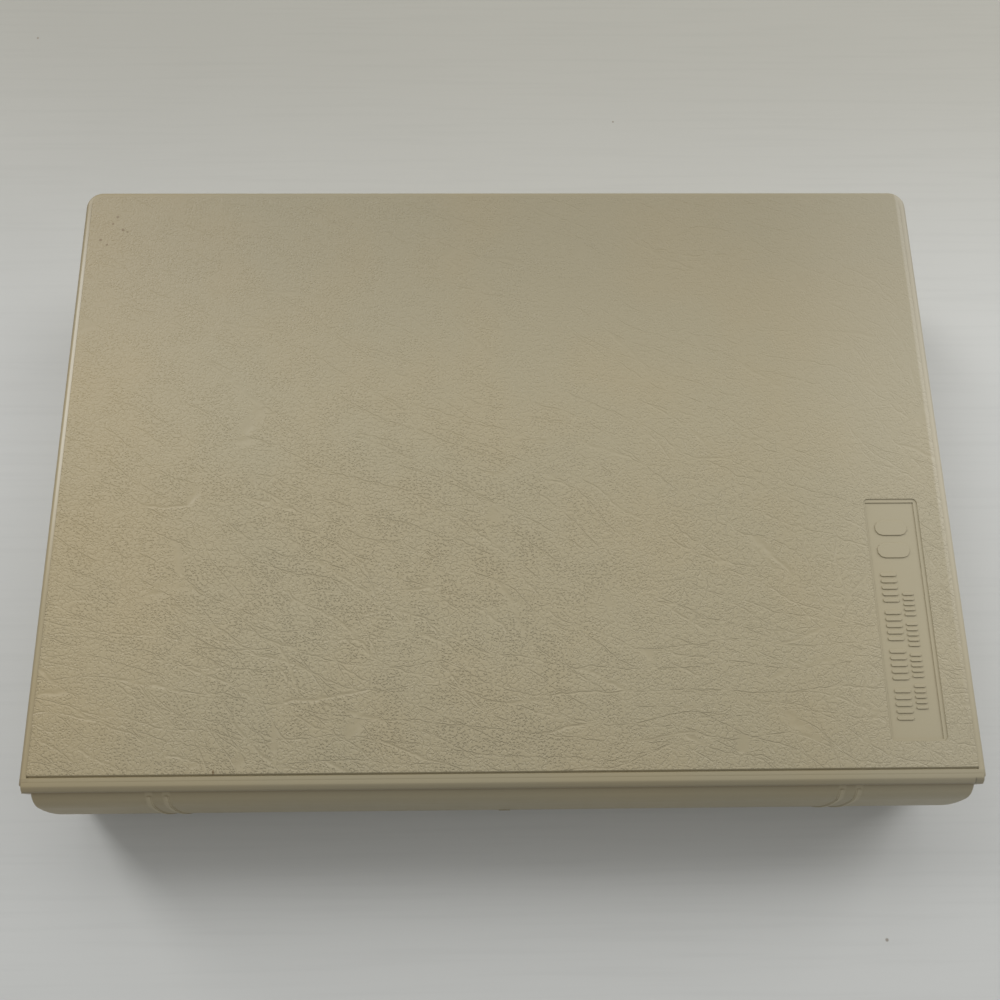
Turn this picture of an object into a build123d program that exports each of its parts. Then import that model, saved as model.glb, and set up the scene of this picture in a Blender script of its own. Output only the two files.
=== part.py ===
"""Book-style library case for ten 3.5 inch floppy disks, closed and lying on its back.

The outer shell is one polypropylene moulding in three stiff panels: a back shell with the
walls of the box, a rounded spine and a front cover. Two thin webs, the living hinges, join
them, so the case opens like a book. Inside, each of two bays holds a rack insert, where
five disks lean in a row of notches.

The disks set the size of the case: their width sets its width, and their length and
thickness set how far they lean under the cover and how deep the box is.

The origin is the centre of the footprint, on the table. X runs along the spine, +Y points
from the spine to the free edge and +Z is up. All sizes are in millimetres.
"""
import math
import os

from build123d import *

# The disks that the case holds
disk_width = 90.0
disk_length = 94.0
disk_thickness = 3.3
disks_per_rack = 5
disk_slack = 0.06
disk_side_play = 0.65
disk_end_play = 0.5
disk_headroom = 0.35

# Outside of the closed case
case_height = 37.0
spine_bulge = 5.25

# Boards: the flat of the front cover and of the back shell
board_thickness = 1.7
board_corner = 4.0
board_edge_round = 1.1
hinge_corner_round = 0.5
board_overhang = 2.8
lip_depth = 4.0
lip_wall = 1.4
lip_rim_round = 0.3

# Grained field, raised on the outer face of each board
field_rise = 0.3
field_margin = 1.7
field_hinge_margin = 2.1
field_edge_bevel = 0.12
groove_width = 0.5
groove_depth = 0.35

# Box walls that stand on the back shell
spine_gap = 1.2
wall = 1.4
wall_corner = 1.6
wall_rim_round = 0.35
wall_headroom = 0.4
divider = 1.4
divider_dip_length = 62.0
divider_dip_depth = 9.0

# Snap between the lip of the cover and the front wall
snap_length = 16.0
snap_spacing = 118.0
snap_height = 0.9
snap_gap = 0.1
catch_proud = 0.5
nib_proud = 0.45
nib_rise = 0.45

# Living hinges
web_thickness = 0.45
web_radius = 1.25
web_sink = 0.1
web_end_inset = 0.6

# Spine
spine_wall = 1.5
spine_clearance = 0.15
flange_corner = 1.5
pillow_shoulder = 0.45
pillow_flank = 4.3
pillow_crown = 1.1
pillow_end_round = 0.7
pillow_overhang = 0.75
rib_width = 1.2
rib_proud = 0.2
rib_start = 0.9
rib_pair_offset = 73.0
rib_pair_pitch = 3.6
gate_radius = 1.3
gate_proud = 0.15

# Label field, let into the grain near the right edge of the cover in two steps
label_width = 12.25
label_length = 53.85
label_side_margin = 7.4
label_hinge_margin = 7.55
label_corner = 1.1
label_step = 0.25
label_ledge = 0.85
label_near_ledge = 0.45

# Small nub that the mould leaves on the free edge of the cover
nub_length = 2.2
nub_proud = 0.2
nub_height = 1.0
nub_x = 71.9

# Rack inserts
rack_floor = 1.0
rack_flange = 1.0
rack_skin = 1.2
rack_clearance = 0.25
rack_land = 0.5
rack_rib = 1.2
rack_rib_count = 3
ramp_ledge = 3.0
cheek = 1.4
cheek_front_height = 11.0
cheek_headroom = 1.2
hold_nib_length = 7.0
hold_nib_height = 1.8
hold_nib_proud = 0.9
hold_nib_gap = 0.1
hold_nibs_per_side = 3

# How far the disks lean, so that they fill the height under the cover
rack_floor_z = board_thickness + rack_floor
notch_rise = disk_thickness + disk_slack
lean_height = case_height - board_thickness - rack_floor_z - disk_headroom
lean = math.asin(lean_height / math.hypot(disk_length, notch_rise)) - math.atan2(notch_rise, disk_length)
lean_sin = math.sin(lean)
lean_cos = math.cos(lean)
notch_pitch = notch_rise / lean_sin

# Width and depth that follow from the disks
channel_width = disk_width + 2 * disk_side_play
rack_width = channel_width + 2 * cheek + 2 * rack_flange
wall_x = divider / 2 + rack_width + 2 * rack_clearance + wall
half_width = wall_x + board_overhang
rack_run = disk_length * lean_cos + (disks_per_rack - 1) * notch_pitch + notch_rise * lean_sin
box_depth = 2 * wall + disk_end_play + rack_run + rack_land + rack_clearance
cover_reach = spine_gap + box_depth + board_overhang

# Places in the frame
rear_reach = spine_bulge + rib_proud
hinge_y = rear_reach - (rear_reach + cover_reach + nub_proud) / 2
free_y = hinge_y + cover_reach
wall_rear_y = hinge_y + spine_gap
wall_front_y = wall_rear_y + box_depth
mid_z = case_height / 2
lip_end_z = board_thickness + lip_depth
wall_top_z = case_height - board_thickness - wall_headroom
web_top_z = case_height - field_rise - web_sink
web_centre_z = web_top_z - web_radius
flange_y = hinge_y - web_radius
flange_thickness = web_radius - spine_clearance
nib_z = case_height - lip_end_z + nib_rise
catch_z = nib_z + snap_height + snap_gap
rack_rear = wall_rear_y + wall + rack_clearance
rack_front = wall_front_y - wall - rack_clearance
first_notch = wall_rear_y + wall + disk_end_play + disk_length * lean_cos
notches = [first_notch + index * notch_pitch for index in range(disks_per_rack)]


def mirror_up(shape):
    """The same shape on the other side of the case's middle height."""
    return shape.mirror(Plane.XY.offset(mid_z))


def block(x_range, y_range, z_range):
    """A box between three pairs of limits."""
    ranges = (x_range, y_range, z_range)
    sizes = [high - low for low, high in ranges]
    centre = [(low + high) / 2 for low, high in ranges]
    return Pos(*centre) * Box(*sizes)


def section_along_x(section, x_range):
    """A prism along X from a face drawn in (y, z)."""
    plane = Plane((x_range[0], 0, 0), x_dir=(0, 1, 0), z_dir=(1, 0, 0))
    return extrude(plane * section, amount=x_range[1] - x_range[0])


def polygon(points):
    """A face with straight sides, through a list of points."""
    return make_face(Polyline(*points, close=True))


def board_outline(inset, rear_y, front_radius, rear_radius, z):
    """Outline of a board, or of something set in from its three free edges."""
    length = free_y - inset - rear_y
    centre_y = (free_y - inset + rear_y) / 2
    sketch = Plane.XY.offset(z) * Pos(0, centre_y) * Rectangle(2 * (half_width - inset), length)
    if rear_radius:
        sketch = fillet(sketch.vertices().sort_by(Axis.Y)[:2], rear_radius)
    return fillet(sketch.vertices().sort_by(Axis.Y)[-2:], front_radius)


def free_edges(solid, z):
    """Edges at one height, but for those at the hinge end."""
    level = solid.edges().filter_by_position(Axis.Z, z - 0.01, z + 0.01)
    return level.filter_by(lambda edge: edge.center().Y > hinge_y + board_edge_round)


def board():
    """The back board with its turned-up lip, outer face down at z = 0."""
    outline = board_outline(0, hinge_y, board_corner, hinge_corner_round, field_rise)
    pan = extrude(outline, amount=lip_end_z - field_rise)
    pan = fillet(free_edges(pan, field_rise), board_edge_round)
    past_hinge = hinge_y - board_corner
    hollow = board_outline(lip_wall, past_hinge, board_corner - lip_wall, 0, board_thickness)
    pan -= extrude(hollow, amount=2 * lip_depth)
    pan = fillet(free_edges(pan, lip_end_z), lip_rim_round)
    return pan + field() - field_groove()


def field():
    """The raised field that carries the grain on the outside of a board."""
    rear_y = hinge_y + field_hinge_margin
    outline = board_outline(field_margin, rear_y, board_corner - field_margin, 0, 0)
    raised = extrude(outline, amount=board_thickness / 2)
    return chamfer(raised.edges().group_by(Axis.Z)[0], field_edge_bevel)


def field_groove():
    """The fine groove between the field and the smooth strip at the hinge."""
    far_y = hinge_y + field_hinge_margin
    near_y = far_y - groove_width
    section = polygon(
        [
            (near_y, field_rise),
            (near_y, 0),
            (far_y, 0),
            (far_y, field_rise),
            ((near_y + far_y) / 2, field_rise + groove_depth),
        ]
    )
    return section_along_x(section, (field_margin - half_width, half_width - field_margin))


def box_walls():
    """The four walls of the box and the divider between its two bays."""
    centre_y = (wall_front_y + wall_rear_y) / 2
    low = board_thickness / 2
    plan = Plane.XY.offset(low) * Pos(0, centre_y)
    outline = RectangleRounded(2 * wall_x, box_depth, wall_corner)
    opening = RectangleRounded(2 * (wall_x - wall), box_depth - 2 * wall, wall_corner / 2)
    walls = extrude(plan * (outline - opening), amount=wall_top_z - low)
    walls = fillet(walls.edges().group_by(Axis.Z)[-1], wall_rim_round)
    partition = block(
        (-divider / 2, divider / 2),
        (wall_rear_y + wall / 2, wall_front_y - wall / 2),
        (low, wall_top_z - wall_rim_round),
    )
    return walls + (partition - divider_dip(centre_y))


def divider_dip(centre_y):
    """A shallow round dip in the divider, which leaves room for the fingertips."""
    half = divider_dip_length / 2
    radius = (half**2 + divider_dip_depth**2) / (2 * divider_dip_depth)
    centre_z = wall_top_z - divider_dip_depth + radius
    return Pos(0, centre_y, centre_z) * Rot(0, 90, 0) * Cylinder(radius, 4 * divider)


def snap_ridges(face_y, proud, z, root):
    """Two ridges along X on one face, which point where proud is counted."""
    section = polygon(
        [
            (face_y + root, z),
            (face_y, z),
            (face_y + proud, z + snap_height / 2),
            (face_y, z + snap_height),
            (face_y + root, z + snap_height),
        ]
    )
    centres = (-snap_spacing / 2, snap_spacing / 2)
    return [section_along_x(section, (x - snap_length / 2, x + snap_length / 2)) for x in centres]


def hold_nibs():
    """Wedges on the side walls and the divider, which hold the racks' flanges down."""
    low = rack_floor_z + hold_nib_gap
    pitch = box_depth / hold_nibs_per_side
    start = wall_rear_y + (pitch - hold_nib_length) / 2
    faces = ((wall - wall_x, 1), (-divider / 2, -1), (divider / 2, 1), (wall_x - wall, -1))
    nibs = []
    for face_x, inward in faces:
        root_x = face_x - inward * divider / 4
        section = polygon(
            [
                (root_x, low),
                (face_x + inward * hold_nib_proud, low),
                (face_x, low + hold_nib_height),
                (root_x, low + hold_nib_height),
            ]
        )
        for index in range(hold_nibs_per_side):
            plane = Plane((0, start + index * pitch, 0), x_dir=(1, 0, 0), z_dir=(0, -1, 0))
            nibs.append(extrude(plane * section, amount=-hold_nib_length))
    return nibs


def back_shell():
    """The back board, the walls of the box, its divider, catches and hold-down wedges."""
    shell = board() + box_walls()
    for piece in snap_ridges(wall_front_y, catch_proud, catch_z, -wall / 2) + hold_nibs():
        shell += piece
    return shell


def label_field(cover):
    """The cover with its bare label field, let in with a narrow ledge round its floor."""
    right = half_width - label_side_margin
    left = right - label_width
    near = hinge_y + label_hinge_margin
    far = near + label_length
    ledge_z = case_height - label_step
    upper = block((left, right), (near, far), (ledge_z, case_height + label_step))
    upper = fillet(upper.edges().filter_by(Axis.Z), label_corner)
    inner_x = (left + label_near_ledge, right - label_ledge)
    inner_y = (near + label_near_ledge, far - label_ledge)
    return cover - upper - block(inner_x, inner_y, (ledge_z - label_step, case_height))


def edge_nub():
    """The nub on the free edge of the cover."""
    top = case_height - field_rise - 2 * board_edge_round
    x_range = (nub_x - nub_length / 2, nub_x + nub_length / 2)
    return block(x_range, (free_y - lip_wall / 2, free_y + nub_proud), (top - nub_height, top))


def front_cover():
    """The front board, turned over, with the label field, the snap nibs and the edge nub."""
    cover = label_field(mirror_up(board())) + edge_nub()
    for nib in snap_ridges(free_y - lip_wall, -nib_proud, nib_z, lip_wall / 2):
        cover += nib
    return cover


def hinge_web():
    """The upper living hinge: a thin band bent through a quarter turn over the corner."""
    inner = web_radius - web_thickness
    outline = [
        CenterArc((0, 0), web_radius, 90, 90),
        Line((-web_radius, 0), (-inner, 0)),
        CenterArc((0, 0), inner, 90, 90),
        Line((0, inner), (0, web_radius)),
    ]
    section = Pos(hinge_y, web_centre_z) * make_face(outline)
    return section_along_x(section, (web_end_inset - half_width, half_width - web_end_inset))


def pillow_section(inset):
    """Section of the spine's rounded panel, or of its hollow, drawn in (y, z)."""
    shoulder_z = web_centre_z - pillow_shoulder - inset
    crown_y = hinge_y - spine_bulge + inset
    flank = (crown_y + pillow_crown, shoulder_z - pillow_flank)
    flank_low = (flank[0], case_height - flank[1])
    shoulder = (flange_y, shoulder_z)
    shoulder_low = (flange_y, case_height - shoulder_z)
    crown = ThreePointArc(flank, (crown_y, mid_z), flank_low)
    upper = TangentArc(flank, shoulder, tangent=-(crown % 0))
    lower = TangentArc(flank_low, shoulder_low, tangent=crown % 1)
    return make_face([crown, upper, lower, Line(shoulder, shoulder_low)])


def spine_panel():
    """Flat flange with a hollow, gently rounded panel, two pairs of ribs and a gate mark."""
    plane = Plane((0, flange_y, mid_z), x_dir=(1, 0, 0), z_dir=(0, 1, 0))
    outline = RectangleRounded(2 * half_width, 2 * (web_centre_z - mid_z), flange_corner)
    flange = extrude(plane * outline, amount=flange_thickness)
    end_x = wall_x + pillow_overhang
    pillow = section_along_x(pillow_section(0), (-end_x, end_x))
    ends = pillow.faces().sort_by(Axis.X)
    rims = [edge for end in (ends[0], ends[-1]) for edge in end.edges().sort_by(Axis.Y)[:-1]]
    pillow = fillet(rims, pillow_end_round)
    inside = (spine_wall - end_x, end_x - spine_wall)
    hollow = pillow_section(spine_wall)
    throat_z = hollow.bounding_box().max.Y
    throat_y = (flange_y - spine_wall / 2, flange_y + 2 * flange_thickness)
    throat = block(inside, throat_y, (case_height - throat_z, throat_z))
    panel = flange + pillow - section_along_x(hollow, inside) - throat
    for rib in spine_ribs():
        panel += rib
    return panel + gate_mark()


def spine_ribs():
    """Two pairs of slim ribs that follow the section of the spine, each in two low steps."""
    skin = pillow_section(0)
    core = offset(skin, amount=-rib_proud)
    reach = 2 * spine_bulge
    outside = Pos(flange_y - rib_start - reach / 2, mid_z) * Rectangle(reach, case_height)
    steps = (-rib_pair_pitch / 2, rib_pair_pitch / 2)
    places = [side * rib_pair_offset + step for side in (-1, 1) for step in steps]
    ribs = []
    for width, proud in ((rib_width, rib_proud / 2), (rib_width / 2, rib_proud)):
        section = (offset(skin, amount=proud) - core) & outside
        ribs += [section_along_x(section, (x - width / 2, x + width / 2)) for x in places]
    return ribs


def gate_mark():
    """The round mark that the moulding gate leaves in the middle of the spine."""
    centre_y = hinge_y - spine_bulge - gate_proud + spine_wall / 2
    return Pos(0, centre_y, mid_z) * Rot(90, 0, 0) * Cylinder(gate_radius, spine_wall)


def rack_section():
    """Outline of a rack: a ledge, the ramp, then one tooth in front of each disk."""
    ledge_y = rack_rear + ramp_ledge
    ledge_z = rack_floor_z + (first_notch - ledge_y) * math.tan(lean)
    points = [(rack_rear, board_thickness), (rack_rear, ledge_z), (ledge_y, ledge_z)]
    for notch in notches:
        points.append((notch, rack_floor_z))
        points.append((notch + notch_rise * lean_sin, rack_floor_z + notch_rise * lean_cos))
    points.append((rack_front, points[-1][1]))
    points.append((rack_front, board_thickness))
    return polygon(points)


def rack_cores():
    """Sections of the pockets that core out the ramp and the teeth from below."""
    low = board_thickness - rack_floor
    slope = math.tan(lean)
    skin_drop = rack_skin / lean_cos
    ledge_y = rack_rear + ramp_ledge
    ledge_z = rack_floor_z + (first_notch - ledge_y) * slope - skin_drop
    foot_y = ledge_y + (ledge_z - low) / slope
    rear_y = rack_rear + rack_skin
    cores = [polygon([(rear_y, low), (rear_y, ledge_z), (ledge_y, ledge_z), (foot_y, low)])]
    for notch in notches[:-1]:
        tip_y = notch + notch_rise * lean_sin + rack_skin * (lean_cos - lean_sin)
        tip_z = rack_floor_z + notch_rise * lean_cos - rack_skin * (lean_cos + lean_sin)
        drop = tip_z - low
        cores.append(polygon([(tip_y, tip_z), (tip_y + drop / slope, low), (tip_y - drop * slope, low)]))
    return cores


def cheek_section():
    """Outline of a side cheek, whose top rises beside the leaning disks."""
    top_z = wall_top_z - cheek_headroom
    start_z = board_thickness + cheek_front_height
    level_y = rack_front - (top_z - start_z) / math.tan(lean)
    return polygon(
        [
            (rack_rear, board_thickness),
            (rack_rear, top_z),
            (level_y, top_z),
            (rack_front, start_z),
            (rack_front, board_thickness),
        ]
    )


def disk_rack():
    """The rack of the right bay: base flange, notched ramp, two cheeks and hidden ribs."""
    left = divider / 2 + rack_clearance
    channel = (left + rack_flange + cheek, left + rack_width - rack_flange - cheek)
    rack = block((left, left + rack_width), (rack_rear, rack_front), (board_thickness, rack_floor_z))
    rack += section_along_x(rack_section(), (channel[0] - cheek / 2, channel[1] + cheek / 2))
    for low in (channel[0] - cheek, channel[1]):
        rack += section_along_x(cheek_section(), (low, low + cheek))
    cell = (channel_width - rack_rib_count * rack_rib) / (rack_rib_count + 1)
    for core in rack_cores():
        for index in range(rack_rib_count + 1):
            start = channel[0] + index * (cell + rack_rib)
            rack -= section_along_x(core, (start, start + cell))
    return rack


os.makedirs("parts", exist_ok=True)

upper_web = hinge_web()
right_rack = disk_rack()

nodes = {
    "back_shell": back_shell(),
    "front_cover": front_cover(),
    "spine_panel": spine_panel(),
    "upper_hinge_web": upper_web,
    "lower_hinge_web": mirror_up(upper_web),
    "right_disk_rack": right_rack,
    "left_disk_rack": right_rack.mirror(Plane.YZ),
}

for name, shape in nodes.items():
    export_step(shape, f"parts/{name}.step")

print(f"case {2 * half_width:.2f} wide, cover reach {cover_reach:.2f}, lean {math.degrees(lean):.2f} degrees")
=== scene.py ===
# %% [markdown]
# # A library case for floppy disks
#
# The case is one moulding of beige polypropylene: a front cover, a rounded spine and a back
# shell, joined by two thin webs that bend. Two racks inside hold the disks. Its real sizes
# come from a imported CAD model. This file adds what the eye sees: leather grain, satin
# plastic, a table and soft daylight.

# %% Load the model
import math

import bmesh
import bpy
from mathutils import Euler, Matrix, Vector


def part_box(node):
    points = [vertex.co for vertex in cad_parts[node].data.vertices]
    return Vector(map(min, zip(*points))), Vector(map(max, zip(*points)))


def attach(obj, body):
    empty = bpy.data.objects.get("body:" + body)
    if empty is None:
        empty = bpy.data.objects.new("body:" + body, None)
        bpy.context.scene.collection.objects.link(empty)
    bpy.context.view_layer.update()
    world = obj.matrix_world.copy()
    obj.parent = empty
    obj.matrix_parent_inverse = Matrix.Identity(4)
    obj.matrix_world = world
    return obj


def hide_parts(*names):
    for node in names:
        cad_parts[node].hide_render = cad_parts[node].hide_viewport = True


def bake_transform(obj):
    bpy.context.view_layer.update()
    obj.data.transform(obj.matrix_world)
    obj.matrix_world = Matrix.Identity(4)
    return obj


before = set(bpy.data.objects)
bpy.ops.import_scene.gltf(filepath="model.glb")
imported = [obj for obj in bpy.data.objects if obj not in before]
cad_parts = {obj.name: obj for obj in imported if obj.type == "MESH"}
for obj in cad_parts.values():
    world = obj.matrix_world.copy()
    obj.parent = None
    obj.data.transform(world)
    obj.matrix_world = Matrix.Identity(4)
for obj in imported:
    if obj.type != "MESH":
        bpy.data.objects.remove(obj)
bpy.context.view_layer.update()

mm = 0.001
print("nodes:", ", ".join(sorted(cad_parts)))

# %% [markdown]
# ## Places on the case
#
# Everything that follows is placed from the model's own corners. The grained field is the
# cover's highest level, and the border and the smooth strip at the hinge lie a little lower.
# The grain has to know these levels. They could be typed in, but read from the model they
# stay right when its sizes change.

# %% Levels and edges, in millimetres
board_thickness = 1.7
smooth_strip = 2.1

cover_low, cover_high = (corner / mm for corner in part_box("front_cover"))
field_top = cover_high.z
inner_face = field_top - board_thickness
hinge_y = cover_low.y
half_width = cover_high.x
field_near_y = hinge_y + smooth_strip
print(f"field at {field_top:.2f} mm, hinge at y {hinge_y:.2f}, half width {half_width:.2f}")

# %% [markdown]
# ## The camera
#
# The photograph was taken by hand with a phone, almost straight down over the spine. A
# camera could be moved until the picture looks right by eye. Here its place and its tilt
# were worked out from the corners of the cover, which is surer, and a lens of 38 mm on a
# sensor 36 mm wide gives the same perspective. The small shift stands for a crop that isn't
# quite centred.

# %% Camera
camera_place = Vector((-6.25, -77.81, 265.53)) * mm
camera_tilt = Euler([math.radians(angle) for angle in (17.227, -0.849, -0.592)])
sensor_width = 36
focal_pixels = 1060
picture_pixels = 1000
crop_right_pixels = 7
crop_up_pixels = 1
nearest_seen = 10 * mm


def show(name, data):
    """A new object in the scene, from its mesh, camera or lamp."""
    thing = bpy.data.objects.new(name, data)
    bpy.context.scene.collection.objects.link(thing)
    return thing


camera = show("camera", bpy.data.cameras.new("camera"))
camera.location = camera_place
camera.rotation_euler = camera_tilt
camera.data.sensor_width = sensor_width
camera.data.lens = sensor_width * focal_pixels / picture_pixels
camera.data.shift_x = crop_right_pixels / picture_pixels
camera.data.shift_y = crop_up_pixels / picture_pixels
camera.data.clip_start = nearest_seen
bpy.context.scene.camera = camera
print(f"lens {camera.data.lens:.1f} mm")

# %% [markdown]
# ## Shader sums as plain Python
#
# A material is a graph of nodes, and a graph of sums is hard to read when each node is made
# by hand. This class wraps one output socket. Adding, taking away or multiplying wires makes
# the Math nodes, so a height map reads like a formula. Any other node comes from `make`.
#
# `rise` and `fall` make masks. Their two numbers are places on the case in millimetres, or
# two levels of a pattern, and the mask fades between them.

# %% A wire between shader nodes
class Wire:
    """One value in a material, on which sums are written as expressions."""

    def __init__(self, socket):
        self.socket = socket
        self.tree = socket.id_data

    def make(self, kind, settings=None, inputs=None, output=0):
        """Any node, from its type, its settings, which are set first, and its inputs."""
        node = self.tree.nodes.new(kind)
        for name, value in (settings or {}).items():
            setattr(node, name, value)
        for name, value in (inputs or {}).items():
            if isinstance(value, Wire):
                self.tree.links.new(value.socket, node.inputs[name])
            else:
                node.inputs[name].default_value = value
        return Wire(node.outputs[output])

    def sum(self, operation, first, second=0.0, third=0.0):
        """A Math node."""
        return self.make("ShaderNodeMath", {"operation": operation}, {0: first, 1: second, 2: third})

    def __add__(self, other):
        return self.sum("ADD", self, other)

    def __radd__(self, other):
        return self.sum("ADD", other, self)

    def __sub__(self, other):
        return self.sum("SUBTRACT", self, other)

    def __rsub__(self, other):
        return self.sum("SUBTRACT", other, self)

    def __mul__(self, other):
        return self.sum("MULTIPLY", self, other)

    def __rmul__(self, other):
        return self.sum("MULTIPLY", other, self)

    def __abs__(self):
        return self.sum("ABSOLUTE", self)

    def most(self, other):
        """The higher of two values."""
        return self.sum("MAXIMUM", self, other)

    def away(self, other):
        """How far off a point is, from its two distances along X and Y."""
        return self.sum("SQRT", self * self + other * other)

    def wrap(self, period):
        """The same value, brought between minus half a period and half a period."""
        return self.sum("WRAP", self, period / 2, -period / 2)

    def rise(self, low, high):
        """0 below low, 1 above high, and a smooth step between them."""
        inputs = {"Value": self, "From Min": low, "From Max": high}
        return self.make("ShaderNodeMapRange", {"interpolation_type": "SMOOTHSTEP"}, inputs)

    def fall(self, low, high):
        """1 below low, 0 above high, and a smooth step between them."""
        return 1 - self.rise(low, high)

    def lifted(self, floor):
        """A mask that still reaches 1, but never goes below a floor."""
        return floor + self * (1 - floor)

    def vector(self, operation, other):
        """A Vector Math node."""
        return self.make("ShaderNodeVectorMath", {"operation": operation}, {0: self, 1: other})

    def axes(self):
        """The three numbers of a vector, as three wires."""
        split = self.make("ShaderNodeSeparateXYZ", {}, {0: self}).socket.node
        return [Wire(output) for output in split.outputs]


print("the wire class does sums")

# %% [markdown]
# ## Colours and textures
#
# The wires learn five more things here: an even colour, a mix of two, and three patterns. A
# Math node would turn a colour grey, so colours go through Mix nodes, whose sockets have
# numbers, because several of them share a name. Patterns are written with the size of what
# they draw, which reads better than Blender's own scale, the number of repeats in a unit.

# %% Colour and texture methods
mix_factor, mix_first, mix_second, mix_result = 0, 6, 7, 2
noise_colour_output = 1
middle_of_noise = (0.5, 0.5, 0.5)


def paint(wire, shade):
    """An even colour, as a wire of the same material."""
    plain = wire.make("ShaderNodeRGB")
    plain.socket.default_value = shade
    return plain


def blend(first, amount, second):
    """A colour, mixed with a second one by an amount from 0 to 1."""
    inputs = {mix_factor: amount, mix_first: first, mix_second: second}
    return first.make("ShaderNodeMix", {"data_type": "RGBA"}, inputs, mix_result)


def noise(place, size, detail=2.0, roughness=0.5, output=0):
    """Soft random blotches of about one size."""
    inputs = {"Vector": place, "Scale": 1 / size, "Detail": detail, "Roughness": roughness}
    return place.make("ShaderNodeTexNoise", {"noise_dimensions": "2D"}, inputs, output)


def warped(place, size, reach):
    """The same places, pushed about by up to half of reach, in swirls of one size."""
    push = noise(place, size, output=noise_colour_output).vector("SUBTRACT", middle_of_noise)
    return place.vector("ADD", push.vector("MULTIPLY", (reach, reach, 0)))


def cells(place, size, feature="DISTANCE_TO_EDGE", disorder=1.0):
    """Distance from the edges, or the centres, of random cells of one size."""
    settings = {"voronoi_dimensions": "2D", "feature": feature}
    inputs = {"Vector": place, "Scale": 1 / size, "Randomness": disorder}
    return place.make("ShaderNodeTexVoronoi", settings, inputs) * size


Wire.paint, Wire.blend, Wire.noise, Wire.warped, Wire.cells = paint, blend, noise, warped, cells
print("and it knows colours, noise and cells")

# %% [markdown]
# ## From a picture's colours to a shader's
#
# Colours were judged in the photograph, on the scale from 0 to 255 that pictures use. A
# shader counts light instead, so each value goes back through the curve of the sRGB
# standard, which is straight near black and a power above that.

# %% Colours
picture_white = 255
straight_end, straight_slope = 0.04045, 12.92
curve_offset, curve_power = 0.055, 2.4


def light_of(level):
    """The light of one colour channel, from its level in a picture."""
    share = level / picture_white
    if share <= straight_end:
        return share / straight_slope
    return ((share + curve_offset) / (1 + curve_offset)) ** curve_power


def colour(red, green, blue):
    """A colour as a picture shows it, in the linear values of a shader."""
    return (light_of(red), light_of(green), light_of(blue), 1.0)


black = colour(0, 0, 0)
print("mid grey is", round(colour(128, 128, 128)[0], 3), "in a shader")

# %% [markdown]
# ## Materials in millimetres
#
# Every material here starts in the same way: it asks where on the object a point lies, turns
# that into millimetres, and hands it on. Grain of 2 mm is then written as 2, and it stays on
# the plastic when the case opens, because the places move with the object.

# %% Start and finish of a material
plastic_ior = 1.48


def start_material(name):
    """A new material, with the place on the object in millimetres."""
    material = bpy.data.materials.new(name)
    material.use_nodes = True
    source = material.node_tree.nodes.new("ShaderNodeTexCoord")
    place = Wire(source.outputs["Object"]).vector("MULTIPLY", (1 / mm, 1 / mm, 1 / mm))
    return material, place


def finish_material(material, base, roughness, height):
    """Links colour, roughness and a height in millimetres to the shader."""
    shader = material.node_tree.nodes["Principled BSDF"]
    shader.inputs["IOR"].default_value = plastic_ior
    links = material.node_tree.links
    links.new(base.socket, shader.inputs["Base Color"])
    links.new(roughness.socket, shader.inputs["Roughness"])
    bump = base.make("ShaderNodeBump", {}, {"Distance": mm, "Height": height})
    links.new(bump.socket, shader.inputs["Normal"])
    print(material.name, "has", len(material.node_tree.nodes), "nodes")
    return material


print("a material can be started and finished")

# %% [markdown]
# ## Leather grain
#
# The mould for the covers was etched from a piece of real hide. Close up the grain is a net
# of short broken creases over a millimetre apart, with fine pits less than a millimetre
# apart between them. It could be pressed into the mesh, but grooves a tenth of a millimetre
# deep would take millions of faces. So it's a height map for a bump, made from the edges and
# centres of random cells, with slow noise to break them up so that nothing looks like tiles.

# %% Creases and pits, in millimetres
fine_net = {"gap": 1.3, "width": 0.2, "swirl": 1.2, "push": 0.9}
wide_net = {"gap": 2.1, "width": 0.24, "swirl": 1.9, "push": 1.4}
fine_share_right = 0.7
wide_share = 1.05
break_size = 0.8
pit_gap, pit_floor, pit_rim = 0.82, 0.04, 0.3
pit_disorder = 0.85
patch_size = 7
flattest_pit = 0.45
pit_share_right = 0.65


def net_of_creases(place, gap, width, swirl, push):
    """Grooves along the edges of bent cells, as a depth from 0 to 1."""
    return place.warped(swirl, push).cells(gap).fall(0.0, width)


def creases(place, right):
    """Fine creases everywhere, with wider ones among them toward the right."""
    fine = net_of_creases(place, **fine_net) * (1 - right).lifted(fine_share_right)
    wide = net_of_creases(place, **wide_net) * right * wide_share
    return fine.most(wide) * place.noise(break_size, detail=1).rise(0.38, 0.56)


def pits(place, right):
    """Pits at the centres of cells, deeper in some patches, shallower to the right."""
    holes = place.warped(1.1, 0.5).cells(pit_gap, "F1", pit_disorder).fall(pit_floor, pit_rim)
    patches = place.noise(patch_size, detail=1).rise(0.40, 0.60)
    return holes * patches.lifted(flattest_pit) * (1 - right).lifted(pit_share_right)


print(f"creases {fine_net['gap']} and {wide_net['gap']} mm apart, pits {pit_gap} mm apart")

# %% [markdown]
# ## Wrinkles
#
# Long wrinkles run across the cover, the way skin folds. They could be drawn one by one as
# curves, but cells that are stretched in one direction give many at once, and their edges
# join and fork as real ones do. The photograph shows four directions, each in a part of the
# cover of its own: slanting all over, level near the spine, steep in two places, and
# upright beside the label field.

# %% Wrinkles
wrinkle_gap, wrinkle_width = 5.2, 0.22
upright_share = 0.8
faintest_wrinkle = 0.3


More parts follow.
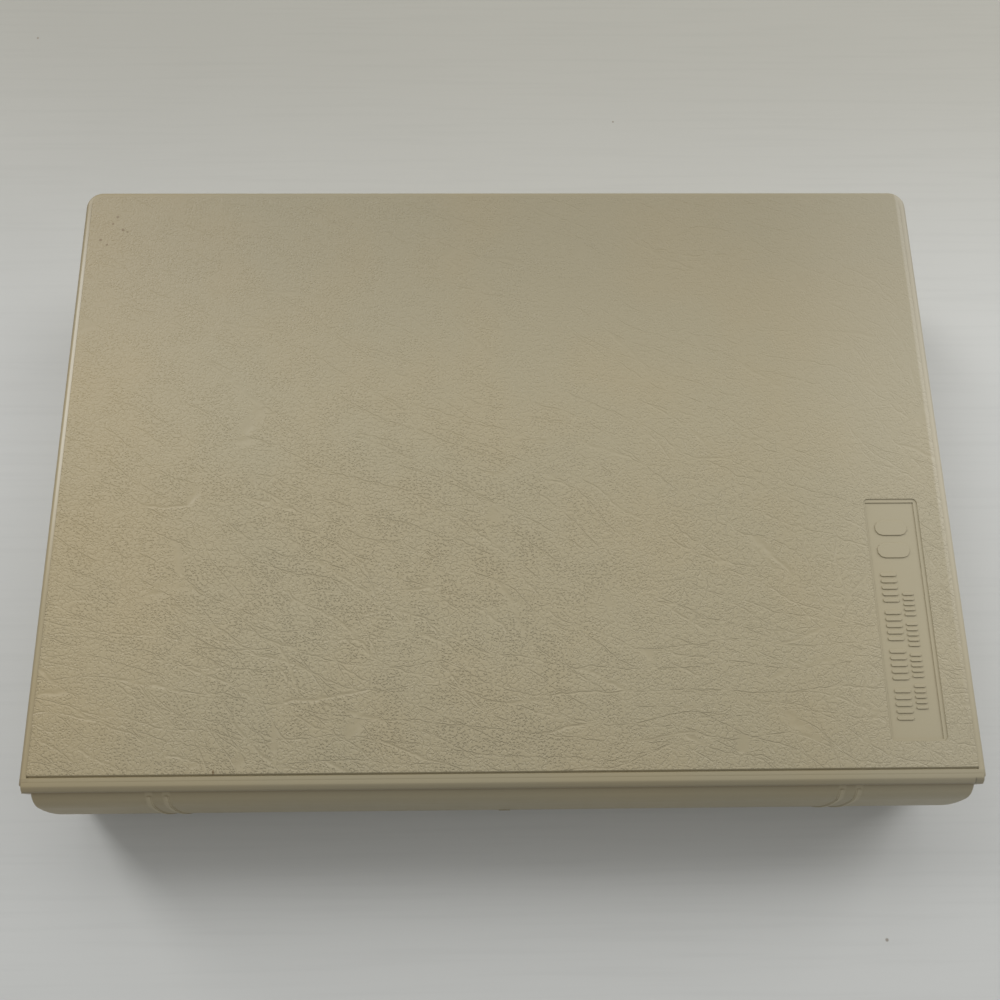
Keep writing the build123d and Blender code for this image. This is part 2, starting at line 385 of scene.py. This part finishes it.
def wrinkles(flow, degrees, length, shift):
    """Wrinkles in one direction. The shift keeps two sets from being alike."""
    settings = {"rotation_type": "Z_AXIS"}
    inputs = {"Vector": flow, "Angle": math.radians(degrees)}
    turned = flow.make("ShaderNodeVectorRotate", settings, inputs)
    moved = turned.vector("ADD", (shift, shift, 0))
    stretched = moved.vector("MULTIPLY", (wrinkle_gap / length, 1, 1))
    return stretched.cells(wrinkle_gap).fall(0.0, wrinkle_width)


def all_wrinkles(place, x, y):
    """The four sets, each where it belongs, as a depth from 0 to 1."""
    flow = place.warped(50, 18).warped(3.2, 1.2)
    in_patches = place.noise(18, detail=1).rise(0.38, 0.50)
    near_spine = y.fall(-45, -20)
    left_of_middle = x.rise(-80, -60) * x.fall(-35, -5) * y.fall(-25, 5)
    right_edge = x.rise(72, 84) * y.rise(-10, 5) * y.fall(35, 50)
    beside_label = x.rise(42, 66) * y.fall(-18, 2) * upright_share
    slanting = wrinkles(flow, degrees=27, length=60, shift=0) * in_patches
    level = wrinkles(flow, degrees=6, length=50, shift=170) * near_spine
    steep = wrinkles(flow, degrees=52, length=50, shift=90) * left_of_middle.most(right_edge)
    upright = wrinkles(flow, degrees=84, length=24, shift=230) * beside_label
    breaks = place.noise(3.5, detail=1).rise(0.35, 0.55)
    return slanting.most(level).most(steep).most(upright) * breaks.lifted(faintest_wrinkle)


print(f"wrinkles {wrinkle_gap} mm apart")

# %% [markdown]
# ## The whole grain
#
# At each point the deepest of the three kinds counts, as if each had been cut in turn. Sums
# would dig holes where they cross. The grain is worn and shallow toward the free edge and a
# little flatter toward the two sides.

# %% Height of the grain, in millimetres
crease_depth = 0.0995
pit_depth = 0.166
wrinkle_depth = 0.138
free_edge_share = 0.352
side_share = 0.76


def leather_grain(place):
    """Height of the grain, at most 0."""
    x, y, _ = place.axes()
    right = x.rise(0, 45)
    net = creases(place, right) * crease_depth
    holes = pits(place, right) * pit_depth
    lines = all_wrinkles(place, x, y) * wrinkle_depth
    strength = y.fall(-30, 42).lifted(free_edge_share) * abs(x).fall(35, 95).lifted(side_share)
    return net.most(holes).most(lines) * strength * -1


print(f"grain down to {pit_depth} mm")

# %% [markdown]
# ## The faces that aren't grained
#
# The strip beside the hinge, the rims, the label field and all inner faces came from a
# smooth, finely sparked steel, so they have a faint bloom instead. Inside, round dips show
# where the pins pushed the moulding out. All of this is too shallow to need geometry, so it
# is part of the bump as well.

# %% Bloom and ejector marks, in millimetres
spark_size, spark_height = 0.35, 0.006
wave_size, wave_height = 6, 0.02
ejector_depth, ejector_rim = 0.05, 0.15


def spark_finish(place):
    """The fine bloom of a sparked mould, on faint waves where the plastic shrank."""
    return place.noise(spark_size) * spark_height + place.noise(wave_size, detail=1) * wave_height


def ejector_marks(x, y, radius, pitch_x, pitch_y):
    """Shallow round dips on a regular grid."""
    away = x.wrap(pitch_x).away(y.wrap(pitch_y))
    return away.fall(radius - ejector_rim, radius) * -ejector_depth


print(f"bloom {spark_height} mm high")

# %% [markdown]
# ## The tone of the plastic
#
# Old polypropylene is never one flat colour. This one is warmer at the left side, greyer at
# the right, and drifts a little between. One colour for each would leave an edge, so two
# soft ramps along X mix the tones.

# %% Tones
shell_colour = colour(164, 154, 125)
shell_warm = colour(170, 153, 116)
shell_light = colour(178, 170, 146)
# Colour of the painted highlights on the side rims
rim_highlight_colour = colour(222, 216, 200)
# Brown of dirt in specks, grain and crumbs, also used for the painted shade in the hinge crease
dirt_and_shade_colour = colour(104, 82, 48)
drift_size, drift_share = 30, 0.2
warm_share, light_share = 0.45, 0.45


def shell_tone(place):
    """Colour of the plastic, warmer to the left and lighter to the right."""
    x, _, _ = place.axes()
    drift = place.noise(drift_size).rise(0.35, 0.7) * drift_share
    warm = place.paint(shell_colour).blend(drift + x.fall(-101, -50) * warm_share, shell_warm)
    return warm.blend(x.rise(60, 100) * light_share, shell_light)


print("shell colour", [round(value, 3) for value in shell_colour])

# %% [markdown]
# ## Marks of use, painted highlights and painted shade
#
# Years of use have left their marks on the cover: brown specks near one corner and a nick at
# the field's edge. Highlights are painted along the two side rims, and painted shade along the
# left side and over the smooth strip at the hinge. It's also a little darker toward the free
# edge and the hinge in the photograph than even lamps make it, so the tone carries the rest of
# that as painted shade. Each mark is a mask in millimetres, so it can be moved by its numbers.

# %% Marks of use and painted light on the cover: place and size of each spot in millimetres
specks = [(-93.2, 66.3, 0.5), (-94.2, 64.4, 0.4), (-91.6, 62.7, 0.55)]
specks += [(-90.4, 62.1, 0.3), (-96.8, 59.9, 0.5), (-95.1, 58.6, 0.4)]
nick = [(-61.1, field_near_y + 0.4, 0.28)]
nick_stretch = 2.5
spot_core = 0.4
speck_share, nick_share = 0.6, 0.8
left_rim_inset = 1.25
# Strengths of the painted highlights along the left and right rims
left_rim_highlight_share, right_rim_highlight_share = 0.6, 0.26
# Painted shade on the left side and on the left border
left_side_shade, left_border_shade = 0.15, 0.07
# Painted shade on the smooth strip at the hinge, and toward the free edge and the hinge
strip_shade = 0.1
free_edge_shade, near_shade = 0.2, 0.1


def spots(x, y, places, stretch=1.0):
    """Round or upright spots, from 0 to 1, at a list of places with their sizes."""
    total = None
    for spot_x, spot_y, size in places:
        away = (x - spot_x).away((y - spot_y) * (1 / stretch))
        spot = away.fall(size * spot_core, size)
        total = spot if total is None else total.most(spot)
    return total


def painted_rim_highlights(x, y):
    """How much paler the two side rims are, as painted highlights."""
    left = abs(x + half_width - left_rim_inset).fall(0.2, 0.5) * y.rise(-35, 10) * y.fall(45, 80)
    right = x.rise(half_width - 2.9, half_width - 2.3) * y.rise(-75, 10)
    return left * left_rim_highlight_share + right * right_rim_highlight_share


def left_shade(x, y):
    """How much darker the left side and the border beside it are, as painted shade."""
    side = x.fall(0.45 - half_width, 0.9 - half_width) * left_side_shade
    border = x.fall(2.0 - half_width, 2.4 - half_width) * y.fall(-45, 5) * left_border_shade
    return side + border


def used_tone(tone, field, x, y):
    """The cover's tone with its marks of use, painted highlights and painted shade."""
    # Painted highlights along the side rims, then painted shade on the left side
    tone = tone.blend(painted_rim_highlights(x, y), rim_highlight_colour).blend(left_shade(x, y), black)
    # Painted shade on the smooth strip, and toward the free edge and the hinge
    strip = y.fall(hinge_y + 1.4, hinge_y + 1.8) * strip_shade
    ends = y.rise(5, 80) * free_edge_shade + y.fall(-75, -35) * near_shade
    tone = tone.blend(ends + strip, black)
    tone = tone.blend(spots(x, y, specks) * field * speck_share, dirt_and_shade_colour)
    return tone.blend(spots(x, y, nick, nick_stretch) * nick_share, dirt_and_shade_colour)


print(len(specks), "specks and", len(nick), "nick")

# %% [markdown]
# ## The shell's plastic
#
# Only the raised fields carry grain. They could get a material of their own, face by face,
# but a level test on the height picks them out in one material, without any painting by
# hand. The grain's depth also darkens its colour.

# %% Shell plastic
level_full, level_gone = 0.04, 0.08
grain_darkening = 0.25
board_ejectors = {"radius": 3.0, "pitch_x": 54, "pitch_y": 58}
shell_roughness, field_roughness, roughness_drift = 0.44, -0.02, 0.04


def at_level(z, level):
    """1 on the faces at one height, 0 on all others."""
    return abs(z - level).fall(level_full, level_gone)


def grained_plastic(name, field_level, used):
    """Plastic of a board whose outer field at one height is grained."""
    material, place = start_material(name)
    x, y, z = place.axes()
    field = at_level(z, field_level)
    grain = leather_grain(place)
    dips = at_level(z, inner_face) * ejector_marks(x, y, **board_ejectors)
    height = field * grain + spark_finish(place) + dips
    tone = shell_tone(place).blend(field * grain * -grain_darkening, dirt_and_shade_colour)
    if used:
        tone = used_tone(tone, field, x, y)
    roughness = shell_roughness + field * field_roughness + place.noise(3) * roughness_drift
    return finish_material(material, tone, roughness, height)


cover_plastic = grained_plastic("cover_plastic", field_top, True)
back_plastic = grained_plastic("back_plastic", 0.0, False)

# %% [markdown]
# ## Smooth plastic of the spine and the hinges
#
# The spine and the webs are the same plastic, but drawn smooth along their length. They get
# a finer bloom and faint lines along X, where the material flowed when it was moulded.
# Painted shade lies in the crease where each web meets the spine, and over each web, darkest
# where it leaves the cover, and over the spine between its ribs, which get painted
# highlights. A seam shows near the web's right end, where two parts of the mould met. One
# function makes both finishes, and what differs is handed to it as a function.

# %% Smooth plastic
web_radius = 1.25
crease_y = hinge_y - web_radius
seam_x = half_width - 2.5
rib_pair_x, rib_apart = 73.0, 3.6
flow_size, flow_height, flow_stretch = 1.5, 0.01, (0.04, 1, 1)
smooth_bloom = 0.6
# Painted shade in the crease and in a band beside it
crease_shade_share, beside_crease_shade_share = 0.2, 0.08
smooth_roughness, smooth_roughness_drift = 0.44, 0.08
# Painted shade over the web and where it leaves the cover, and the dark seam
web_shade, leaving_shade, seam_shade, end_shade = 0.18, 0.12, 0.3, 0.1
# Painted shade on the spine, and painted highlights on its ribs
spine_shade, rib_highlight = 0.13, 0.22


def smooth_plastic(name, tone_of):
    """Smooth plastic, with painted shade in the crease beside the webs and a tone of its own."""
    material, place = start_material(name)
    x, y, _ = place.axes()
    flow = place.vector("MULTIPLY", flow_stretch).noise(flow_size)
    height = spark_finish(place) * smooth_bloom + flow * flow_height
    # Painted shade in the crease, and a fainter band of it beside the crease
    in_crease = abs(y - crease_y).fall(0.05, 0.4) * crease_shade_share
    beside_crease = abs(y - crease_y + 0.6).fall(0.3, 0.9) * beside_crease_shade_share
    tone = tone_of(shell_tone(place), x, y).blend(in_crease + beside_crease, dirt_and_shade_colour)
    roughness = smooth_roughness + place.noise(4) * smooth_roughness_drift
    return finish_material(material, tone, roughness, height)


def web_tone(tone, x, y):
    """Painted shade over the web, darker where it leaves the cover, and dark at the seam."""
    bend = y.fall(hinge_y - 0.3, hinge_y + 0.2)
    leaving = y.rise(hinge_y - 1.0, hinge_y - 0.5) * leaving_shade
    seam = abs(x - seam_x).fall(0.05, 0.2) * seam_shade + x.rise(seam_x, seam_x + 0.1) * end_shade
    return tone.blend(bend * (leaving + seam) + web_shade, black)


def spine_tone(tone, x, y):
    """Painted shade, a little darker than the cover, with painted highlights along the ribs."""
    rib = abs(abs(abs(x) - rib_pair_x) - rib_apart / 2).fall(0.5, 1.0)
    return tone.blend((1 - rib) * spine_shade, black).blend(rib * rib_highlight, shell_light)


spine_plastic = smooth_plastic("spine_plastic", spine_tone)
hinge_plastic = smooth_plastic("hinge_plastic", web_tone)

# %% [markdown]
# ## Rack plastic
#
# The racks are separate inserts. Such inserts are moulded in polystyrene, which is a little
# paler and has more shine than the shell. They could share the shell's finish, but when the
# case stands open the difference is what tells an insert from the moulding round it.

# %% Rack plastic
rack_colour = colour(176, 167, 143)
rack_warm = colour(170, 158, 130)
rack_drift_size, rack_drift_share = 25, 0.4
rack_bloom = 0.5
rack_ejectors = {"radius": 2.5, "pitch_x": 32, "pitch_y": 38}
rack_roughness, rack_roughness_drift = 0.36, 0.06


def rack_plastic():
    """Paler plastic with more shine."""
    material, place = start_material("rack_plastic")
    x, y, _ = place.axes()
    drift = place.noise(rack_drift_size).rise(0.3, 0.8) * rack_drift_share
    tone = place.paint(rack_colour).blend(drift, rack_warm)
    height = spark_finish(place) * rack_bloom + ejector_marks(x, y, **rack_ejectors)
    roughness = rack_roughness + place.noise(5) * rack_roughness_drift
    return finish_material(material, tone, roughness, height)


rack_finish = rack_plastic()

# %% [markdown]
# ## Each piece gets its finish
#
# The real case has two plastics and four surfaces. Faces could be given materials one by
# one, but each node of the model is one surface, so a plain table of names does it.

# %% Finishes of the nodes
finishes = {
    "front_cover": cover_plastic,
    "back_shell": back_plastic,
    "spine_panel": spine_plastic,
    "upper_hinge_web": hinge_plastic,
    "lower_hinge_web": hinge_plastic,
    "right_disk_rack": rack_finish,
    "left_disk_rack": rack_finish,
}
for node, finish in finishes.items():
    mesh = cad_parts[node].data
    mesh.materials.clear()
    mesh.materials.append(finish)
print(len(finishes), "nodes have their finish")

# %% [markdown]
# ## The bending webs
#
# A living hinge is a strip of the same plastic, half a millimetre thin, that bends many
# thousands of times. The CAD holds it as a stiff quarter ring. Its end is flush with the
# board and laps a little way over it, so that no groove shows.

# %% Cross-section of a web, in millimetres
web_thickness = 0.45
web_segments = 24
quarter_turn = 90
flush_rise, flush_turn = 0.11, 40
board_overlap = 0.8
end_rounding = ((0.0, 0.3), (0.08, 0.13), (0.3, 0.0))


def web_ring(x, radius, rise, centre_z, side):
    """Points of one face of the web at one x, from the tab on the board round the bend."""
    points = [Vector((x, hinge_y + board_overlap, centre_z + side * (radius + rise)))]
    for index in range(web_segments + 1):
        turn = quarter_turn * index / web_segments
        reach = radius + rise * max(0.0, 1 - turn / flush_turn) ** 2
        y = hinge_y - reach * math.sin(math.radians(turn))
        z = centre_z + side * reach * math.cos(math.radians(turn))
        points.append(Vector((x, y, z)))
    return points


print(web_segments, "segments round each bend")

# %% [markdown]
# ## A mesh from rings
#
# Each web is a closed band: its outer face runs from end to end, with small steps at both
# ends that round them off, and its inner face runs back. Neighbouring rings are joined by
# faces of four corners, and the two narrow edges are closed by one face each.

# %% Meshes of the webs
def web_mesh(name, centre_z, side):
    """A quarter ring along X, over the corner of the closed case, with a tab on the board."""
    low, high = (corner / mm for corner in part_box(name))
    stations = [(low.x + inset, drop) for inset, drop in end_rounding]
    stations += [(high.x - inset, drop) for inset, drop in reversed(end_rounding)]
    inner = web_radius - web_thickness
    rings = [web_ring(x, web_radius - drop, flush_rise, centre_z, side) for x, drop in stations]
    rings += [web_ring(x, inner, 0.0, centre_z, side) for x, _ in reversed(stations)]
    shape = bmesh.new()
    loops = [[shape.verts.new(point * mm) for point in ring] for ring in rings]
    last = len(loops[0]) - 1
    for first, second in zip(loops, loops[1:] + loops[:1]):
        for index in range(last):
            shape.faces.new((first[index], second[index], second[index + 1], first[index + 1]))
    for index in (0, last):
        shape.faces.new([ring[index] for ring in loops])
    bmesh.ops.recalc_face_normals(shape, faces=shape.faces)
    mesh = bpy.data.meshes.new(name + "_bent")
    shape.to_mesh(mesh)
    shape.free()
    mesh.materials.append(hinge_plastic)
    return show(name + "_bent", mesh)


def smooth_shade(piece, angle):
    """Smooth shading, but for edges sharper than an angle in degrees."""
    piece.data.shade_smooth()
    shape = bmesh.new()
    shape.from_mesh(piece.data)
    for edge in shape.edges:
        edge.smooth = len(edge.link_faces) == 2 and edge.calc_face_angle() < math.radians(angle)
    shape.to_mesh(piece.data)
    shape.free()


print("webs reach", board_overlap, "mm over the boards")

# %% [markdown]
# ## The webs in place
#
# Each end of a web belongs to another body: one to a board, one to the spine. A web that
# rode on either body alone would tear off the other. Here each bent web takes the place of
# the stiff one and stays fixed where it is, on neither body.

# %% Webs in place of the stiff ones
web_edge_angle = 35
web_centre_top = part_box("upper_hinge_web")[1].z / mm - web_radius
web_centre_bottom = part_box("lower_hinge_web")[0].z / mm + web_radius
webs = (
    ("upper_hinge_web", web_centre_top, 1, "cover"),
    ("lower_hinge_web", web_centre_bottom, -1, "base"),
)
for node, centre_z, side, board_body in webs:
    web = web_mesh(node, centre_z, side)
    smooth_shade(web, web_edge_angle)
    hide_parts(node)
    if board_body == "base":
        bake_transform(web)
    else:
        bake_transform(web)
    print(web.name, "bends between", board_body, "and spine")

# %% [markdown]
# ## Relief in the label field
#
# The sunk field near the right edge says what the case is for. Here that is a pattern of low
# relief: raised strokes in groups of five, in two rows, and two broad pads, for the two bays
# of five disks each. The relief could be a bump in the plastic, but real bars a quarter of a
# millimetre high catch the light along their rims, so they are built as a mesh.

# %% One raised bar, in millimetres
label_floor = field_top - 0.5
relief_height = 0.28
relief_slope = 0.07
half_turn = 180
end_steps = 5


def bar_loop(centre, length, width, inset, height):
    """Outline of a bar with round ends, at one height."""
    radius = width / 2 - inset
    reach = length / 2 - width / 2
    points = []
    for side in (1, -1):
        for index in range(end_steps + 1):
            angle = math.radians(half_turn * index / end_steps - quarter_turn)
            x = side * (reach + radius * math.cos(angle))
            y = side * radius * math.sin(angle)
            points.append(centre + Vector((x, y, height)))
    return points


def rounded_bar(shape, centre, length, width):
    """A low bar along X, with upright sides and a sloping rim."""
    shoulder = relief_height - relief_slope
    levels = ((0.0, 0.0), (0.0, shoulder), (relief_slope, relief_height))
    outlines = [bar_loop(centre, length, width, inset, height) for inset, height in levels]
    loops = [[shape.verts.new(point * mm) for point in outline] for outline in outlines]
    count = len(loops[0])
    for lower, upper in zip(loops, loops[1:]):
        for index in range(count):
            after = (index + 1) % count
            shape.faces.new((lower[index], lower[after], upper[after], upper[index]))
    shape.faces.new(loops[-1])
    shape.faces.new(list(reversed(loops[0])))


print(f"relief {relief_height} mm high")

# %% [markdown]
# ## The pattern
#
# The strokes repeat, so each row is given by its first place, the pitch of its strokes and
# the pause after every group. All bars go into one mesh, which rides on the cover.

# %% Rows of strokes and the pads, in millimetres
strokes_per_group = 5
stroke_groups = 4
rows = [
    {"x": (83.9, 87.5), "start": hinge_y + 12.4, "pitch": 1.45, "pause": 1.3, "width": 0.85},
    {"x": (88.3, 90.8), "start": hinge_y + 14.6, "pitch": 1.15, "pause": 1.0, "width": 0.65},
]
pads = {"x": (83.9, 91.2), "places": (hinge_y + 49.4, hinge_y + 54.6), "width": 3.4}
relief_edge_angle = 30


def label_bars():
    """Both ends, the place along Y and the width of every bar."""
    bars = [(pads["x"], y, pads["width"]) for y in pads["places"]]
    for row in rows:
        for index in range(stroke_groups * strokes_per_group):
            y = row["start"] + index * row["pitch"] + index // strokes_per_group * row["pause"]
            bars.append((row["x"], y, row["width"]))
    return bars


def label_relief(bars):
    """All strokes and pads in one mesh."""
    shape = bmesh.new()
    for (low_x, high_x), y, width in bars:
        centre = Vector(((low_x + high_x) / 2, y, label_floor))
        rounded_bar(shape, centre, high_x - low_x, width)
    mesh = bpy.data.meshes.new("label_relief")
    shape.to_mesh(mesh)
    shape.free()
    mesh.materials.append(cover_plastic)
    piece = show("label_relief", mesh)
    smooth_shade(piece, relief_edge_angle)
    print(len(bars), "raised bars in the label field")
    return piece


relief = label_relief(label_bars())
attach(relief, "cover")

# %% [markdown]
# ## The table
#
# The case lies on a pale, lacquered table with a very fine ripple, and faint streaks of painted
# shade run along it from left to right. Noise that is stretched along X gives both the ripple
# and the streaks, where a picture of a real table would repeat. In the photograph the table is
# darker and yellower toward the far left, so painted shade darkens it toward the far side, most
# at the far left, and a little toward the left and the near edge. Three crumbs lie on it.

# %% Table lacquer
table_colour = colour(209, 210, 207)
# Colour and strength of the painted shade toward the far side
table_far_shade_colour = colour(124, 116, 86)
far_shade_share = 0.49
# Painted shade toward the left, the near edge and the far left
left_shade_share, near_shade_share, far_left_shade_share = 0.07, 0.1, 0.09
# Streaks of painted shade along the ripple
streak_stretch, streak_size, streak_shade_share = (0.03, 1, 1), 1.6, 0.025
ripple_stretch, ripple_size, ripple_height = (0.06, 1, 1), 2.5, 0.025
table_detail = 3
table_roughness, table_roughness_drift = 0.46, 0.1
crumbs = [(-137.0, 151.2, 0.45), (35.2, 121.6, 0.4), (89.5, -103.4, 0.55)]
crumb_share = 0.6


def table_finish():
    """Pale lacquer with crumbs, and painted shade in streaks and toward its far, left and near sides.
    """
    material, place = start_material("table_lacquer")
    x, y, _ = place.axes()
    # Painted shade toward the left, the near edge and the far left, then a darker, yellower painted
    # shade toward the far side
    left = x.fall(-180, 180) * left_shade_share
    near = y.fall(-130, -90) * near_shade_share
    far_left = x.fall(-180, 20) * y.rise(10, 70) * far_left_shade_share
    tone = place.paint(table_colour).blend(y.rise(10, 165) * far_shade_share, table_far_shade_colour)
    tone = tone.blend(left + near + far_left, black)
    # Streaks of painted shade along the ripple
    streaks = place.vector("MULTIPLY", streak_stretch).noise(streak_size, table_detail)
    tone = tone.blend(streaks.rise(0.45, 0.75) * streak_shade_share, black)
    tone = tone.blend(spots(x, y, crumbs) * crumb_share, dirt_and_shade_colour)
    ripple = place.vector("MULTIPLY", ripple_stretch).noise(ripple_size, table_detail)
    roughness = table_roughness + place.noise(40) * table_roughness_drift
    return finish_material(material, tone, roughness, ripple * ripple_height)


lacquer = table_finish()

# %% [markdown]
# ## The table top
#
# Only the part that the camera sees matters, so one large square is enough.

# %% Table top
table_reach = 3.0
corners = [(-1, -1), (1, -1), (1, 1), (-1, 1)]
table_mesh = bpy.data.meshes.new("table")
table_mesh.from_pydata([(x * table_reach, y * table_reach, 0) for x, y in corners], [], [(0, 1, 2, 3)])
table_mesh.materials.append(lacquer)
table = show("table", table_mesh)
print("the table is", 2 * table_reach, "m wide")

# %% [markdown]
# ## Light
#
# In the photograph the shadow before the spine is as wide as the case where it starts, and
# its two ends slant inward. One lamp can't do that: it takes a window at the far left and
# one at the far right, whose shadows cross. A weaker one between them puts a soft sheen on
# the cover, and the world stands for the pale walls. Together they light a level surface at
# a little under 1, so the plastic renders nearly as its colour is written.

# %% Lamps and world
case_middle = Vector((0, 0, 0.02))
room_colour = (1.0, 1.0, 1.0, 1.0)
room_strength = 0.42


def window_lamp(name, place, width, height, power):
    """A tall area lamp that faces the middle of the case."""
    data = bpy.data.lights.new(name, "AREA")
    data.shape = "RECTANGLE"
    data.size = width
    data.size_y = height
    data.energy = power
    lamp = show(name, data)
    lamp.location = place
    lamp.rotation_euler = (Vector(place) - case_middle).to_track_quat("Z", "Y").to_euler()


window_lamp("left_window", place=(-0.95, 0.92, 1.15), width=0.5, height=1.25, power=11.4)
window_lamp("right_window", place=(1.3, 0.88, 1.15), width=1.2, height=1.25, power=12.0)
window_lamp("far_window", place=(0, 1.0, 1.36), width=1.2, height=1.0, power=4.8)

world = bpy.data.worlds.new("pale_room")
bpy.context.scene.world = world
world.use_nodes = True
background = world.node_tree.nodes["Background"]
background.inputs["Color"].default_value = room_colour
background.inputs["Strength"].default_value = room_strength
bpy.context.scene.view_settings.view_transform = "Standard"
print("three lamps and the world")
